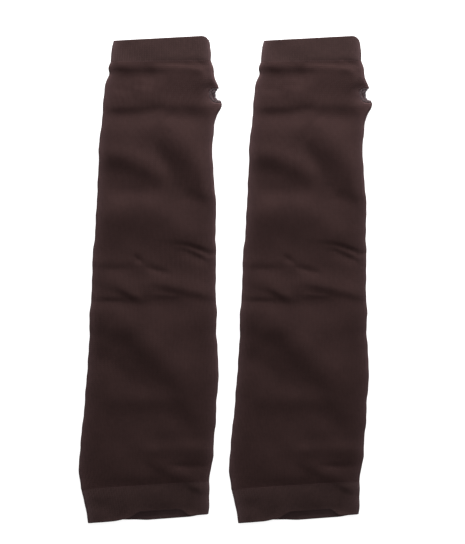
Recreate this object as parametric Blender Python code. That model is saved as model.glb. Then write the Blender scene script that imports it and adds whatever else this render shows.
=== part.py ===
"""A pair of long knitted arm warmers, laid flat side by side.

Each warmer is a knitted sleeve tube with a folded welt at the hand and at the upper arm, and a
thumb opening with a turned edge in its right fold. It lies on the surface z = 0: its lower layer
is flat there, and its upper layer lies on the lower one, lifted or pressed by the folds.

Axes: +X to the right, +Y along the warmers towards the hand, +Z up. The origin is on the surface,
in the middle of the pair.
"""

import math
from collections import namedtuple

import bmesh
import bpy
from mathutils import Vector

MM = 0.001  # the sizes below are in millimetres

# The pair
PITCH = 123.2  # from the middle line of one warmer to that of the other
PAIR_SHIFT = -0.5  # of both middle lines, so that the origin is in the middle of their outlines

# The cloth
BODY_WALL = 1.4
WELT_WALL = 2.0  # a welt is the cloth folded double
WELT_ROUND = 0.7  # how far its folded edge bulges out
SEAM_GAP = 0.3  # between pieces that are sewn together
BODY_RISE = 4.4  # height of two layers of the body, with the air between them
LEAST_HOLLOW = 0.35  # between the two layers where a fold presses them together

# The thumb opening in the right fold
THUMB_Y = 150.6
THUMB_HALF_LENGTH = 6.1
THUMB_LIP_X = 56.8  # where its two ends meet the fold
THUMB_LIP_LEAN = 1.5  # the lower end stands out further than the upper by twice this
THUMB_UPPER_DEPTH = 7.8  # how far it reaches in from the lips, in the upper layer
THUMB_LOWER_DEPTH = 4.5  # and in the lower layer
THUMB_RISE = 3.8  # height of the upper layer there, where both are pressed together
THUMB_EDGE_RADIUS = 0.7
THUMB_EDGE_POINTS = 28
THUMB_LIP_SHARE = 0.35  # how much of its length it takes to go from one layer to the other
OPENING_POINTS = 14
OPENING_REACH = 3  # how far the cutters reach past the cloth
CUTTER_OVERLAP = 0.02  # between the upper layer's cutter and the lower layer's
SMALL_TURN = 0.01  # radians, to measure the direction of the turned edge

# How finely a tube is divided
SHARP_ANGLE = 50  # degrees
ACROSS_UPPER = 14
ACROSS_LOWER = 4
AROUND_FOLD = 4

# A section across a tube: y is its place along the warmer in the middle, left and right are its two
# folds, rise is the height of its upper layer, slope is how much further up its right end lies than
# its left, and mouth is how far the upper layer stands back from the lower in the middle.
Section = namedtuple("Section", "y left right rise slope mouth", defaults=(BODY_RISE, 0, 0))

HAND_CUFF = (
    Section(y=179.1, left=-32.5, right=50.1, rise=4.6, slope=0.8),
    Section(y=184.5, left=-31.9, right=50.2, rise=4.6, slope=1.2),
    Section(y=190.5, left=-31.5, right=49.9, rise=4.6, slope=2.4),
    Section(y=195.2, left=-30.9, right=49.7, rise=4.6, slope=3.6),
    Section(y=197.2, left=-29.5, right=48.3, rise=4.5, slope=4.2),
)

BODY = (
    Section(y=178.8, left=-32.1, right=50.1, slope=0.8),
    Section(y=175.4, left=-33.9, right=51.8, slope=0.5),
    Section(y=172.1, left=-34.2, right=52.6),
    Section(y=168.8, left=-32.5, right=52.8),
    Section(y=163.9, left=-35.8, right=53.9),
    Section(y=158.2, left=-37.2, right=56.5),
    Section(y=150.6, left=-37.9, right=57.0),
    Section(y=142.9, left=-38.5, right=59.6),
    Section(y=139.4, left=-38.7, right=58.5),
    Section(y=135.9, left=-38.7, right=55.5),
    Section(y=129.0, left=-39.6, right=53.2),
    Section(y=116.2, left=-41.2, right=52.0),
    Section(y=106.4, left=-42.1, right=51.2),
    Section(y=93.2, left=-42.1, right=51.9),
    Section(y=80.1, left=-42.9, right=52.9),
    Section(y=62.0, left=-43.7, right=54.5),
    Section(y=47.2, left=-44.6, right=54.4),
    Section(y=32.4, left=-45.4, right=53.7),
    Section(y=22.6, left=-46.8, right=54.8),
    Section(y=12.7, left=-47.4, right=54.3),
    Section(y=-0.4, left=-47.4, right=54.2),
    Section(y=-13.6, left=-48.0, right=54.2),
    Section(y=-28.3, left=-49.6, right=55.2),
    Section(y=-43.1, left=-49.5, right=54.5),
    Section(y=-57.9, left=-50.3, right=55.7),
    Section(y=-72.7, left=-51.3, right=56.6),
    Section(y=-87.5, left=-52.6, right=56.1),
    Section(y=-102.3, left=-53.6, right=54.6),
    Section(y=-117.0, left=-55.1, right=54.3),
    Section(y=-131.8, left=-56.9, right=52.6),
    Section(y=-145.0, left=-57.7, right=52.2),
    Section(y=-154.8, left=-58.6, right=50.7, slope=1.0),
    Section(y=-161.2, left=-57.9, right=49.2, slope=3.4),
    Section(y=-168.5, left=-56.4, right=48.9, slope=7.0),
)

ARM_CUFF = (
    Section(y=-168.8, left=-56.3, right=48.9, rise=4.7, slope=7.0),
    Section(y=-175.5, left=-54.7, right=48.8, rise=4.7, slope=6.4, mouth=0.3),
    Section(y=-184.0, left=-52.7, right=48.9, rise=4.5, slope=6.4, mouth=2.0),
    Section(y=-192.3, left=-51.6, right=48.9, rise=4.4, slope=6.8, mouth=5.0),
    Section(y=-195.7, left=-50.7, right=48.1, rise=4.4, slope=7.4, mouth=6.6),
)

# A fold of the body's upper layer: a soft ridge or trough along a line of (x, y) places, with its
# half width and its height, negative for a trough.
Fold = namedtuple("Fold", "line half_width height")

FOLDS = (
    Fold(line=((-34, 167), (4, 167)), half_width=6, height=-1.0),
    Fold(line=((12, 173), (29, 172), (46, 168)), half_width=4, height=0.5),
    Fold(line=((47, 150), (58, 150)), half_width=8, height=-0.6),
    Fold(line=((-40, 135), (0, 136), (20, 134), (48, 131)), half_width=6, height=-1.2),
    Fold(line=((-46, 101), (-24, 102), (-6, 94), (4, 88)), half_width=11, height=2.4),
    Fold(line=((4, 112), (13, 94), (22, 78)), half_width=7, height=-0.8),
    Fold(line=((15, 129), (24, 116), (40, 91), (48, 76)), half_width=14, height=2.8),
    Fold(line=((-28, 73), (1, 71)), half_width=7, height=-0.6),
    Fold(line=((24, 69), (44, 64)), half_width=7, height=-0.8),
    Fold(line=((-46, 43), (-24, 53), (-5, 54), (12, 48), (27, 38)), half_width=15, height=1.8),
    Fold(line=((28, 28), (51, 21)), half_width=5, height=-0.7),
    Fold(line=((-12, -4), (0, -5), (16, -7)), half_width=8, height=0.9),
    Fold(line=((12, -3), (34, -8), (52, -12)), half_width=6, height=1.2),
    Fold(line=((-48, -18), (-20, -19)), half_width=5, height=-0.6),
    Fold(line=((-16, -21), (20, -21)), half_width=7, height=-0.9),
    Fold(line=((-52, -28), (-16, -38), (0, -53), (23, -79), (36, -104)), half_width=18, height=2.6),
    Fold(line=((-50, -62), (-18, -80), (-4, -90)), half_width=9, height=-0.5),
    Fold(line=((-34, -113), (12, -113)), half_width=9, height=-0.9),
    Fold(line=((0, -140), (46, -140)), half_width=7, height=0.7),
    Fold(line=((-56, -168), (30, -167)), half_width=6, height=-0.5),
)

MATERIALS = {
    "body": ("stockinette_knit", (0.036, 0.021, 0.019), 0.92),
    "cuff": ("rib_welt_knit", (0.042, 0.025, 0.023), 0.90),
    "edge": ("overlocked_edge", (0.046, 0.029, 0.027), 0.90),
}


def clear_scene():
    for obj in list(bpy.data.objects):
        bpy.data.objects.remove(obj, do_unlink=True)


def make_material(key):
    """Matt dark brown yarn."""
    name, colour, roughness = MATERIALS[key]
    material = bpy.data.materials.new(name)
    material.use_nodes = True
    shader = material.node_tree.nodes["Principled BSDF"]
    shader.inputs["Base Color"].default_value = (*colour, 1)
    shader.inputs["Roughness"].default_value = roughness
    shader.inputs["Metallic"].default_value = 0
    return material


def fold_height(fold, x, y):
    """How much this fold lifts the cloth at (x, y): a rounded ridge that fades past its ends."""
    place = Vector((x, y))
    apart = math.inf
    for start, end in zip(fold.line, fold.line[1:]):
        start, along = Vector(start), Vector(end) - Vector(start)
        share = (place - start).dot(along) / along.length_squared
        nearest = start + along * min(max(share, 0), 1)
        apart = min(apart, (place - nearest).length)
    return fold.height * math.exp(-((apart / fold.half_width) ** 2))


def upper_height(section, x, y, wall, folds):
    """Height of the outside of the upper layer, which never presses through the lower one."""
    height = section.rise + sum(fold_height(fold, x, y) for fold in folds)
    return max(height, 2 * wall + LEAST_HOLLOW)


def along_warmer(section, x, upper):
    """The section's place along the warmer at x, in the upper or in the lower layer."""
    share = (x - section.left) / (section.right - section.left)
    y = section.y + section.slope * (share - 0.5)
    if upper:
        y += section.mouth * (1 - (2 * share - 1) ** 2) ** 2
    return y


def ring(section, wall, folds, inset):
    """The closed line round a section: over the upper layer from left to right, down round the
    right fold, back along the lower layer, and up round the left fold. An inset of 0 gives the
    outside of the cloth, and an inset of its wall gives the inside."""
    left, right = section.left + inset, section.right - inset
    half_left = upper_height(section, section.left, section.y, wall, folds) / 2 - inset
    half_right = upper_height(section, section.right, section.y, wall, folds) / 2 - inset
    first, last = left + half_left, right - half_right
    points = []
    for step in range(ACROSS_UPPER + 1):
        share = step / ACROSS_UPPER
        x = first + (last - first) * share
        y = along_warmer(section, x, upper=True)
        # The ends take the height of the folded edge, so that the round side meets them.
        edge = half_left if share < 0.5 else half_right
        blend = math.sin(math.pi * share) ** 0.5 if 0 < share < 1 else 0
        height = upper_height(section, x, y, wall, folds) - inset
        points.append((x, y, 2 * edge + inset + (height - 2 * edge - inset) * blend))
    for step in range(1, AROUND_FOLD):
        angle = math.pi * step / AROUND_FOLD
        x = last + half_right * math.sin(angle)
        z = inset + half_right * (1 + math.cos(angle))
        points.append((x, along_warmer(section, x, upper=step < AROUND_FOLD / 2), z))
    for step in range(ACROSS_LOWER + 1):
        x = last + (first - last) * step / ACROSS_LOWER
        points.append((x, along_warmer(section, x, upper=False), inset))
    for step in range(1, AROUND_FOLD):
        angle = math.pi * step / AROUND_FOLD
        x = first - half_left * math.sin(angle)
        z = inset + half_left * (1 - math.cos(angle))
        points.append((x, along_warmer(section, x, upper=step > AROUND_FOLD / 2), z))
    return [Vector(point) * MM for point in points]


def turned_ring(outer, inner, outward):
    """The line between the outside and the inside at a rounded end, moved out along Y."""
    return [(a + b) / 2 + Vector((0, outward * MM, 0)) for a, b in zip(outer, inner)]


def tube_mesh(name, sections, wall, folds=(), turned_end=0):
    """The closed wall of a tube that lies flat: its outside, its inside, and its two ends.
    turned_end of +1 or -1 rounds the end of the last section, towards +Y or -Y."""
    outside = [ring(section, wall, folds, 0) for section in sections]
    inside = [ring(section, wall, folds, wall) for section in sections]
    rings = outside[:]
    if turned_end:
        rings.append(turned_ring(outside[-1], inside[-1], turned_end * WELT_ROUND))
    rings += reversed(inside)
    mesh = bpy.data.meshes.new(name)
    build = bmesh.new()
    loops = [[build.verts.new(point) for point in line] for line in rings]
    for near, far in zip(loops, loops[1:] + loops[:1]):
        for a, b, c, d in zip(near, near[1:] + near[:1], far[1:] + far[:1], far):
            build.faces.new((a, b, c, d))
    bmesh.ops.recalc_face_normals(build, faces=build.faces)
    build.to_mesh(mesh)
    build.free()
    mesh.shade_smooth()
    mesh.set_sharp_from_angle(angle=math.radians(SHARP_ANGLE))
    return mesh


def thumb_edge_point(angle):
    """The middle of the turned edge: an angle of 0 is deep in the upper layer, a quarter turn the
    upper lip, half a turn deep in the lower layer, and three quarters the lower lip."""
    inward = math.cos(angle)
    depth = THUMB_UPPER_DEPTH if inward > 0 else THUMB_LOWER_DEPTH
    x = THUMB_LIP_X - THUMB_LIP_LEAN * math.sin(angle) - depth * abs(inward)
    y = THUMB_Y + THUMB_HALF_LENGTH * math.sin(angle)
    upper = THUMB_RISE - BODY_WALL / 2
    lower = THUMB_EDGE_RADIUS
    tilt = min(max(inward / THUMB_LIP_SHARE, -1), 1)
    z = (upper + lower) / 2 + (upper - lower) / 2 * math.sin(tilt * math.pi / 2)
    return Vector((x, y, z)) * MM


def thumb_edge_curve():
    curve = bpy.data.curves.new("thumb_edge", "CURVE")
    curve.dimensions = "3D"
    curve.bevel_depth = THUMB_EDGE_RADIUS * MM
    curve.bevel_resolution = 1
    spline = curve.splines.new("POLY")
    spline.points.add(THUMB_EDGE_POINTS - 1)
    spline.use_cyclic_u = True
    for step, point in enumerate(spline.points):
        angle = 2 * math.pi * step / THUMB_EDGE_POINTS
        point.co = (*thumb_edge_point(angle), 1)
    return curve


def opening_outline(upper):
    """Seen from above, the line that the cloth is cut along round the turned edge, in the upper or
    in the lower layer: from one lip to the other, and then closed well outside the fold."""
    room = (THUMB_EDGE_RADIUS + SEAM_GAP) * MM
    outline = []
    for step in range(OPENING_POINTS + 1):
        angle = math.pi * (step / OPENING_POINTS - 0.5)
        if not upper:
            angle = math.pi - angle
        point = thumb_edge_point(angle).xy
        along = thumb_edge_point(angle + SMALL_TURN).xy - thumb_edge_point(angle - SMALL_TURN).xy
        away = Vector((along.y, -along.x)).normalized()
        if away.dot(point - Vector((THUMB_LIP_X, THUMB_Y)) * MM) < 0:
            away.negate()
        outline.append(point + away * room)
    outside = (THUMB_LIP_X + OPENING_REACH) * MM
    return outline + [Vector((outside, outline[-1].y)), Vector((outside, outline[0].y))]


def opening_cutter_mesh(name, upper, low, high):
    """An upright prism on the opening's outline, from low to high."""
    mesh = bpy.data.meshes.new(name)
    build = bmesh.new()
    floor = [build.verts.new((*point, low * MM)) for point in opening_outline(upper)]
    raised = bmesh.ops.extrude_face_region(build, geom=[build.faces.new(floor)])["geom"]
    lifted = [item for item in raised if isinstance(item, bmesh.types.BMVert)]
    bmesh.ops.translate(build, vec=Vector((0, 0, high - low)) * MM, verts=lifted)
    bmesh.ops.recalc_face_normals(build, faces=build.faces)
    build.to_mesh(mesh)
    build.free()
    return mesh


def add_piece(name, data, material, parent):
    piece = bpy.data.objects.new(name, data)
    piece.parent = parent
    bpy.context.scene.collection.objects.link(piece)
    if not data.materials:
        data.materials.append(material)
    return piece


def add_cutter(piece, mesh, parent):
    """Cuts the mesh's shape from the piece, and hides the cutter."""
    cutter = bpy.data.objects.new(f"{piece.name}_{mesh.name}", mesh)
    cutter.parent = parent
    cutter.hide_render = True
    cutter.display_type = "WIRE"
    bpy.context.scene.collection.objects.link(cutter)
    cut = piece.modifiers.new(mesh.name, "BOOLEAN")
    cut.operation = "DIFFERENCE"
    cut.object = cutter


def main():
    clear_scene()
    knit, welt, edge = (make_material(key) for key in ("body", "cuff", "edge"))
    middle = THUMB_RISE / 2
    body = tube_mesh("body", BODY, BODY_WALL, FOLDS)
    hand_cuff = tube_mesh("hand_cuff", HAND_CUFF, WELT_WALL, turned_end=1)
    arm_cuff = tube_mesh("arm_cuff", ARM_CUFF, WELT_WALL, turned_end=-1)
    thumb_edge = thumb_edge_curve()
    top = BODY_RISE + OPENING_REACH
    upper_cut = opening_cutter_mesh("upper_cut", True, middle, top)
    lower_cut = opening_cutter_mesh("lower_cut", False, -OPENING_REACH, middle + CUTTER_OVERLAP)
    for side, direction in (("left", -1), ("right", 1)):
        warmer = bpy.data.objects.new(f"{side}_warmer", None)
        warmer.location.x = (direction * PITCH / 2 + PAIR_SHIFT) * MM
        bpy.context.scene.collection.objects.link(warmer)
        tube = add_piece(f"{side}_body", body, knit, warmer)
        add_cutter(tube, upper_cut, warmer)
        add_cutter(tube, lower_cut, warmer)
        add_piece(f"{side}_hand_cuff", hand_cuff, welt, warmer)
        add_piece(f"{side}_arm_cuff", arm_cuff, welt, warmer)
        add_piece(f"{side}_thumb_edge", thumb_edge, edge, warmer)


if __name__ == "__main__":
    main()
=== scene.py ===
"""The looks of a pair of long knitted arm warmers that lie flat, side by side.

Each sleeve, welt and thumb edge replaces its CAD solid and lies where that lies. Shapes are worked
out in millimetres for the left warmer, with x measured from its middle line, y along it towards the
hand and z up from the table. The right warmer is a copy of it, one pitch further along +X.
"""

import math
from collections import namedtuple

import bpy
import numpy as np
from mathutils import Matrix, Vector


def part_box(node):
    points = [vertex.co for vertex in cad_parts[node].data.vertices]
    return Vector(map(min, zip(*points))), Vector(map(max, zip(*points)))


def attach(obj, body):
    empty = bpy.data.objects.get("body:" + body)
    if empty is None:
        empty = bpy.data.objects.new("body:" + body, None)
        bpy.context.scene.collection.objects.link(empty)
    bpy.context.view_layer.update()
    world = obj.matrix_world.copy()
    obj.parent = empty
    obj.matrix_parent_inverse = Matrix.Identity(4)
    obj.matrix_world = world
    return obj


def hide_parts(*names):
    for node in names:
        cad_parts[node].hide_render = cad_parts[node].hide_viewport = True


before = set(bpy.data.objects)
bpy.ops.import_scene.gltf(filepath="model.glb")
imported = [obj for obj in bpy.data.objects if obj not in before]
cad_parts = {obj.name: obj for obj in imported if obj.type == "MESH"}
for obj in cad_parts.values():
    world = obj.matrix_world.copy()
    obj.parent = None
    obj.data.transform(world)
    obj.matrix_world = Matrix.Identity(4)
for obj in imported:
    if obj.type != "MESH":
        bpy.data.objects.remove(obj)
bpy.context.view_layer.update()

bl_info = {
    "name": "Knitted Arm Warmers",
    "version": (1, 0, 0),
    "blender": (4, 5, 0),
    "location": "3D View > Sidebar > Arm Warmers",
    "description": "Knits a pair of flat arm warmers round their packed CAD model",
    "category": "Add Mesh",
}

MM = 0.001
BODY = "root"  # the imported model's only body
STITCH_MAP = "Stitches"  # the UV map that counts wales across and courses along
PAINTED_LIGHT = "PaintedLight"  # the attribute that says how much painted light pales the yarn: painted sheen by the folded sides, and light laid on where shade falls round the openings and seams
MATH = "ShaderNodeMath"
PITCH = (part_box("right_body")[0].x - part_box("left_body")[0].x) / MM
PAIR_SHIFT = -0.5  # from the frame's middle to halfway between the two middle lines
MIDDLE = PAIR_SHIFT - PITCH / 2  # the left warmer's middle line

# A crease lifts the cloth along a smooth line of stations, or presses it down where its height is
# negative. A station is a place (x, y) with the crease's height and half width there. The number
# before them, from -1 to 1, leans the crease: over 0 it is wide and gentle on the left of its line
# and steep on the right, and under 0 the other way round.
CREASES = (
    # The hand welt, and the sleeve gathered under it
    (0, (-34, 181, -0.15, 4), (8, 182, -0.15, 4)),
    (0, (30, 176.5, 0.1, 9), (39, 176.5, 0.4, 10), (48, 176.5, 0.45, 10)),
    (-0.4, (-37, 167.5, -0.9, 6), (-26, 167, -1.8, 7), (-14, 167.2, -1.2, 6.5), (-6, 167, -1.1, 6.5),
     (0, 167, -1.35, 7), (7, 168, -0.5, 5)),
    (-0.5, (8, 173.7, 0.1, 3.4), (16, 173.2, 0.25, 4), (29, 172.1, 0.45, 4.2), (41, 170, 0.7, 4.2),
     (49, 165.3, 0.65, 3.8)),
    (0.2, (6, 177.6, -0.25, 2.6), (25, 177.2, -0.4, 3), (46, 176.2, -0.3, 3)),
    (0.2, (-31, 156.5, -0.2, 4), (-25, 155.5, -0.4, 4), (-17, 155, -0.2, 3)),
    (0, (-12, 158.8, -0.1, 2), (-6, 158.4, -0.22, 2), (1, 158, -0.1, 2)),
    (0.2, (35, 179.6, -0.15, 2.2), (42, 177.4, -0.45, 2.6), (49, 175, -0.35, 2.6)),
    (-0.5, (10, 163, 0.2, 6), (30, 162, 0.35, 7), (44, 161, 0.3, 6)),
    # Both layers pressed together at the thumb opening
    (0, (43, 150, -0.6, 7), (50, 150, -1.4, 7), (58, 150.5, -1.4, 7)),
    (0, (47, 156.5, -0.5, 4), (53, 157, -1.5, 4.5), (59, 157, -1.8, 4.5)),
    # The furrow across the palm
    (-0.3, (-42, 135, -0.5, 5.5), (-30, 134.8, -0.95, 6), (-12, 135, -1.0, 6), (0, 137, -0.85, 6),
     (7, 138.6, -0.4, 5.5)),
    (-0.15, (10, 137.5, -0.45, 6), (18, 134, -1.25, 7.5), (28, 133, -1.2, 8), (38, 132, -1.1, 8),
     (48, 131, -0.6, 7)),
    (0, (-40, 119, 0.3, 9), (-24, 119, 0.65, 10), (-8, 118, 0.7, 10), (2, 115, 0.5, 9)),
    (0.4, (14, 146.5, 0.1, 6), (28, 145, 0.25, 6.5), (42, 144, 0.35, 6.5), (50, 143.5, 0.25, 5)),
    (0.2, (-8, 125.5, 0.1, 6), (5, 125, 0.2, 7), (14, 126, 0.35, 6)),
    # Two big folds down the wrist, with a hollow at the foot of each
    (0.1, (-46, 101.5, 1.4, 10), (-37, 102, 2.4, 11), (-24, 102, 2.7, 11.5), (-14, 98.5, 2.4, 11),
     (-6, 94, 2.0, 10.5), (4, 88, 1.2, 9.5)),
    (0, (4, 112, -0.4, 6), (13, 94, -0.9, 7), (22, 78, -0.8, 7)),
    (0, (-28, 73, -0.3, 7), (-12, 71.5, -0.6, 7), (1, 71.5, -0.5, 7)),
    (0, (13, 130, 0.6, 10), (18, 125, 1.7, 12.5), (23.5, 116.5, 2.8, 14), (31, 106.5, 3.2, 14.5),
     (40, 91, 2.9, 14), (48, 76, 1.8, 12.5)),
    (0, (24, 69, -0.5, 7), (34, 67, -0.9, 7), (44, 64, -0.5, 6)),
    # The broad roll above the elbow
    (-0.15, (-46, 43, 0.9, 13), (-36, 49, 1.4, 14.5), (-24, 53, 1.8, 15), (-5, 54.5, 1.9, 15),
     (12, 48, 1.8, 14), (27, 38, 1.2, 12)),
    (0.5, (14, 34, 0.3, 8), (32, 32, 0.5, 9), (48, 29, 0.4, 8)),
    # Wrinkles at the elbow
    (0, (13, 29.2, -0.1, 2), (22, 29, -0.2, 2), (30, 28, -0.5, 2.1), (40, 24.8, -0.7, 2.1),
     (51, 20.8, -0.7, 2.1)),
    (-0.4, (27, 23.6, -0.3, 2.6), (33, 21, -0.55, 3), (40, 17.5, -0.7, 3), (46, 14.7, -0.4, 2.6)),
    (0, (-13, 19.5, -0.2, 2), (-9.7, 16.7, -0.7, 2.4), (-6, 13.8, -0.3, 2)),
    (0.2, (-47, 14.5, 0.2, 4.5), (-30, 14.3, 0.25, 4.5), (-17, 13.6, 0.15, 4)),
    (-0.1, (-46, 7.5, -0.15, 4), (-28, 7.5, -0.45, 4.6), (-15, 7.5, -0.1, 4)),
    (0, (-3, 10.3, -0.3, 2.4), (6, 7.2, -0.8, 3.2), (13, 5.4, -0.4, 2.8)),
    (0.3, (-38, -3, 0.15, 5), (-29, -4.2, 0.45, 5), (-21, -7.8, 1.0, 4.8), (-14, -12.5, 1.0, 4.2),
     (-8, -16.5, 0.3, 3.5)),
    (-0.4, (-48, -18.2, -0.45, 3.6), (-36, -18.5, -0.75, 4), (-24, -18.5, -0.6, 3.6)),
    (-0.1, (-12, -4.5, 0.4, 7), (0, -5, 1.0, 8), (16, -7, 0.5, 7)),
    (-0.4, (-16, -20.5, -0.5, 7), (-6, -21.5, -0.8, 9), (6, -21.5, -0.8, 9), (20, -20, -0.5, 8)),
    (0.45, (6, -2, 0.4, 5), (20, -4.5, 1.05, 7), (34, -8, 1.15, 7.2), (52, -12, 0.95, 7)),
    (0, (4, -12.4, 0.18, 1.6), (20, -13.6, 0.22, 1.6)),
    # The long roll down the upper arm
    (0.35, (-52, -28, 0.9, 15), (-44, -31, 1.55, 17), (-16, -38, 2.5, 19), (0, -53, 2.85, 19),
     (11, -65, 2.7, 18), (23, -79, 2.25, 17), (34, -99, 1.4, 15), (42, -120, 0.7, 12)),
    (0.25, (30, -30, 0.3, 13), (40, -31, 0.9, 14), (50, -31, 0.9, 14)),
    (0, (-50, -62, -0.5, 9), (-33, -68, -0.6, 9), (-18, -80, -0.5, 9), (-4, -90, -0.5, 9)),
    (0, (-30, -96, 0.2, 7), (0, -97, 0.3, 7), (24, -97, 0.2, 7)),
    (-0.35, (-34, -113.5, -0.45, 12.5), (-8, -114, -0.75, 13), (2, -114, -0.95, 13),
     (12, -114, -0.55, 13), (28, -117, -0.2, 12)),
    # Above the arm welt
    (-0.2, (-4, -139, 0.2, 6), (3, -140.5, 0.8, 6), (20, -139.5, 0.6, 6.5), (46, -139.5, 0.7, 7)),
    (-0.2, (18, -153, -0.3, 3), (33, -153.5, -0.5, 3.5), (44, -153, -0.4, 3.5)),
    (0.1, (-1, -148.5, 0.2, 3.5), (8, -152.8, 0.4, 5), (28, -161, 0.45, 5.2), (44, -169.8, 0.4, 4.5)),
    (0, (-56, -171, -0.3, 8.5), (-42, -170, -0.45, 8.5), (-24, -169, -0.5, 6), (-4, -168.5, -0.45, 5),
     (16, -168.3, -0.35, 5), (28, -168.5, -0.25, 5), (38, -169, -0.15, 5)),
    # The arm welt, rounded at its top and pressed flat towards its mouth
    (0, (-54, -179, 0.25, 5), (-42, -178.5, 0.35, 5), (-30, -177, 0.05, 4.5)),
    (0, (31, -168, 0.2, 2.5), (37, -170.5, 0.55, 3), (42, -172.5, 0.4, 3)),
    (0, (-58, -186, -0.3, 12), (-30, -181.5, -0.75, 11), (28, -178.5, -0.75, 11), (46, -178, -0.2, 10)),
    (0.3, (-42, -186, -0.1, 5), (-26, -185.5, -0.15, 5), (-8, -185, -0.15, 5)),
    (0, (-30, -194, -0.6, 6), (-12, -191.5, -1.1, 7), (28, -189.5, -1.1, 7), (40, -190, -0.5, 5)),
)
CURVE_STEPS = 5  # between one station and the next
CREASE_REACH = 3  # how many half widths out from its line a crease has died away

# The lie of the cloth
RISE = 4.2  # height of the upper layer where no crease lifts or presses it
EDGE = 3.9  # height of the folded sides
FOLD_RADIUS = 3.0  # of the folded sides, seen from above
FOLD_BLEND = 9.0  # how far in from them the upper layer takes its own height
FOLD_SHARE = 0.5  # how much of a crease shows in the folded sides
FOLD_INSET = 4  # how far in from its fold each side takes its creases
UNDER_SHARE = 0.3  # how much of a crease the lower layer follows
UNDER_SLACK = 0.1  # how high a crease lifts it before it leaves the table
SOFTNESS = 0.25  # how gently a trough meets the least height
WALL_ROOM = 0.2  # between the two layers where they are pressed together
SWELL = (0.10, 7.3, 15.0, 9.1, 0.7)  # height, three lengths and the start of the cloth's slow swells
RIPPLE = (0.07, 4.7, 11.0, 19.0)  # height and three lengths of its smaller ripples
WANDER = 2  # how far both wander from straight lines
WAVER = (0.25, 2.9, 7.7)  # how far the folded sides waver, and over which two lengths
OUTLINE_REACH = 3  # rows over which the outline's corners are rounded
PAINTED_LIGHT_REACH = 3.0  # how far in from the folded sides the painted sheen reaches, and out from the thumb opening its painted light

# The seams between the sleeve and its welts, whose edges round off towards them
SEAM_DROP = 0.06
SEAM_REACH = 1.6
SEAM_POWER = 1.3
LINK_PITCH = 2.0  # length of one chain stitch of the linking
LINK_STEPS = 8  # rings of its thread for each stitch
LINK_HALF = 0.2  # half a chain stitch's width
LINK_WAIST = 0.3  # the share of that width which is left between two stitches
LINK_RADIUS = 0.18  # of its thread
LINK_SINK = 0.19  # how deep the thread's middle lies in the seam
# painted light on the linking thread, which lifts the shade along the seam
LINK_PAINTED_LIGHT = 0.3

# The open end of each welt, and how far its upper layer stands back there from its lower one
OPEN_END = {"hand_cuff": 1, "arm_cuff": -1}
MOUTH = {"hand_cuff": 0, "arm_cuff": 6.2}
MOUTH_POWER = 2.2
# Where across a welt the mouth's arch rises, slowly and then quickly, and where it falls again. Each
# is a start and a length, as shares of the welt's width.
ARCH_SLOW = (0.2, 0.16)
ARCH_QUICK = (0.32, 0.12)
ARCH_QUICK_SHARE = 0.75
ARCH_FALL = (0.86, -0.11)
LIP_SAG = 0.2  # how far its lower layer hangs out of line, as a share of that opening
SAG_RISE = (0.36, 0.15)
SAG_FALL = (0.97, -0.14)
TUCK_RISE = (0.05, 0.1)  # left of the sag the same layer is tucked in
TUCK_FALL = (0.38, -0.12)
TUCK_SHARE = 0.5
CORNER_RADIUS = {"hand_cuff": 6.5, "arm_cuff": 0}  # of the right corner, seen from above
CORNER_REACH = 16.0  # how far down the welt its rows bend towards that corner
CORNER_SHARE = 0.9  # how much of its quarter circle is turned, to keep the rows apart
THINNING = {"arm_cuff": 0.45}  # how much thinner its turned edge is pressed
INSIDE_PAINTED_LIGHT = 0.45  # painted light inside a welt, which lifts the shade in its mouth
RIB_POWER = 0.7  # under 1 makes the ribs round and the grooves between them narrow
INNER_RIB = 0.4  # how much of a rib's depth shows inside the welt
TURN_RIB = 0.1  # how much the ribs show in its turned edge

# The thumb opening in the right fold, as in the CAD model, and the overlocked band that binds it
THUMB_Y = 150.6
THUMB_HALF = 6.1
THUMB_LIP_X = 56.8
THUMB_LIP_LEAN = 1.5
THUMB_UPPER_DEPTH = 7.8
THUMB_LOWER_DEPTH = 4.7
THUMB_SQUARE = 2.8  # 2 would be an ellipse, and more is squarer
THUMB_ROOM = 1.2  # the outline is read outside the opening and this far round it
THUMB_CORE = 0.05  # points so near its middle aren't drawn to its edge
FAR = 100  # stands for every place that is nowhere near the opening
THUMB_TURN = (1.2, 3.2)  # heights between which its depth goes from the lower layer's to the upper's
THUMB_CURL = 0.95  # how far the lower layer's cut edge curls up
UPPER_CURL = 0.8  # how much further it does so by the upper lip
CURL_RISE = (-0.2, 0.9)  # where along the opening that begins, and over what length
CURL_REACH = 1.3
THUMB_PAINTED_LIGHT = 0.5  # painted light on the cloth round the opening, which lifts the shade there
# painted light on the overlocked band
BAND_PAINTED_LIGHT = 0.45
LIP_PAINTED_LIGHT_LOSS = 0.5  # how much of that painted light is left off at the lower lip, which faces the lamp
LOWER_BAND_PAINTED_LIGHT = 0.7  # more painted light where the band binds the lower layer, in the upper layer's shade
BAND_UPPER = 1.3  # half the band's width on the upper layer
BAND_LOWER = 1.4
BAND_THICK = 0.5
BAND_OVER = 0.8  # how far it laps over the cloth
BAND_CROSSING = 0.5  # the share of the opening's depth in which it goes from layer to layer
BAND_RISE = 0.22  # how far its middle lies above the middle of the upper layer
BAND_WRAP = 0.13  # how far its threads stand out of it
BAND_WRAP_POWER = 0.8
BAND_PITCH = 1.2  # from one overlock stitch to the next
BAND_UNEVEN = 0.22  # how unevenly wide it is
BAND_WAVES = (5, 8)  # how often it is, round the opening

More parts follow.
